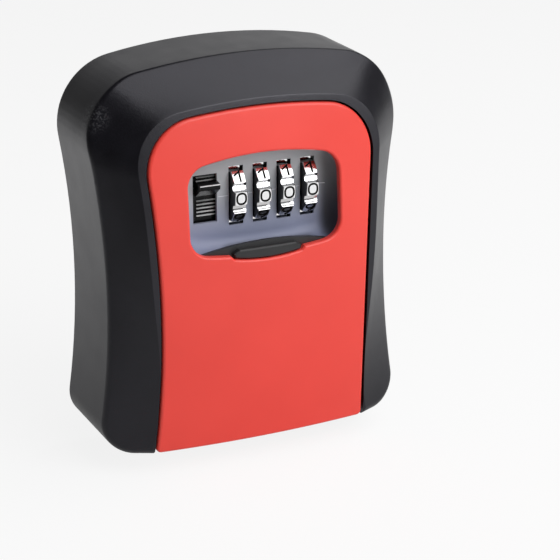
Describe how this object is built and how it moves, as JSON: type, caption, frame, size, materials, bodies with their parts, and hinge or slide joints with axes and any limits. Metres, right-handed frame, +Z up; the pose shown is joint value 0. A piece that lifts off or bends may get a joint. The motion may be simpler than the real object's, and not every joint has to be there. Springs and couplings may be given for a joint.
{
  "type": "wall key cabinet",
  "caption": "Wall-mounted key safe with a waisted case, a drop-down door, number wheels, an opening lever and a sliding shutter over the wheels.",
  "frame": {"origin": "middle of the four wall holes, on the wall plane", "axes": "+X to the right seen from the front, +Y into the wall, so the front faces -Y, +Z up"},
  "size_m": [0.095, 0.04, 0.113],
  "materials": {
    "case_black": "satin black coating with a very fine grain",
    "door_red": "satin red moulded plastic",
    "lock_casting": "matt black casting",
    "panel_grey": "satin blue-grey plastic",
    "black_plastic": "satin black plastic",
    "chrome": "bright chrome plating with black figures",
    "hub_metal": "turned brass",
    "steel": "zinc-plated steel"
  },
  "bodies": {
    "case": {"housing": "case_black", "hinge_pins": "steel"},
    "door": {"door_cover": "door_red", "lock_case": "lock_casting", "lock_cover": "steel", "cover_screws": "steel", "dial_panel": "panel_grey", "detent_spring": "steel", "latch_spring": "steel"},
    "shutter": {"shutter": "black_plastic"},
    "latch": {"latch_plate": "steel", "latch_rivets": "steel", "open_lever": "black_plastic"},
    "reset": {"dial_shaft": "steel", "shaft_clip": "steel", "reset_lever": "black_plastic"},
    "dial_1": {"dial_1": "chrome"},
    "dial_2": {"dial_2": "chrome"},
    "dial_3": {"dial_3": "chrome"},
    "dial_4": {"dial_4": "chrome"},
    "hub_1": {"dial_hub_1": "hub_metal"},
    "hub_2": {"dial_hub_2": "hub_metal"},
    "hub_3": {"dial_hub_3": "hub_metal"},
    "hub_4": {"dial_hub_4": "hub_metal"}
  },
  "joints": [
    {"name": "door_hinge", "type": "hinge", "parent": "case", "child": "door", "pos_m": [0, -0.0302, -0.0523], "axis": [1, 0, 0], "range_deg": [0, 90]},
    {"name": "shutter_slide", "type": "hinge", "parent": "door", "child": "shutter", "pos_m": [0, 0.245, -0.0085], "axis": [-1, 0, 0], "range_deg": [0, 5.25]},
    {"name": "latch_slide", "type": "slide", "parent": "door", "child": "latch", "axis": [0, 0, 1], "range_m": [-0.0072, 0.0014], "stiffness_N_per_m": 150, "springref_m": 0.006, "deforming": ["latch_spring"]},
    {"name": "reset_slide", "type": "slide", "parent": "door", "child": "reset", "axis": [-1, 0, 0], "range_m": [0, 0.0014]},
    {"name": "dial_1_spin", "type": "hinge", "parent": "door", "child": "dial_1", "pos_m": [0, -0.0243, 0.01685], "axis": [1, 0, 0], "continuous": true},
    {"name": "dial_2_spin", "type": "hinge", "parent": "door", "child": "dial_2", "pos_m": [0, -0.0243, 0.01685], "axis": [1, 0, 0], "continuous": true},
    {"name": "dial_3_spin", "type": "hinge", "parent": "door", "child": "dial_3", "pos_m": [0, -0.0243, 0.01685], "axis": [1, 0, 0], "continuous": true},
    {"name": "dial_4_spin", "type": "hinge", "parent": "door", "child": "dial_4", "pos_m": [0, -0.0243, 0.01685], "axis": [1, 0, 0], "continuous": true},
    {"name": "hub_1_spin", "type": "hinge", "parent": "reset", "child": "hub_1", "pos_m": [0, -0.0243, 0.01685], "axis": [1, 0, 0], "continuous": true},
    {"name": "hub_2_spin", "type": "hinge", "parent": "reset", "child": "hub_2", "pos_m": [0, -0.0243, 0.01685], "axis": [1, 0, 0], "continuous": true},
    {"name": "hub_3_spin", "type": "hinge", "parent": "reset", "child": "hub_3", "pos_m": [0, -0.0243, 0.01685], "axis": [1, 0, 0], "continuous": true},
    {"name": "hub_4_spin", "type": "hinge", "parent": "reset", "child": "hub_4", "pos_m": [0, -0.0243, 0.01685], "axis": [1, 0, 0], "continuous": true}
  ],
  "couplings": [
    {"joint": "hub_1_spin", "follows": "dial_1_spin", "ratio": 1},
    {"joint": "hub_2_spin", "follows": "dial_2_spin", "ratio": 1},
    {"joint": "hub_3_spin", "follows": "dial_3_spin", "ratio": 1},
    {"joint": "hub_4_spin", "follows": "dial_4_spin", "ratio": 1}
  ]
}
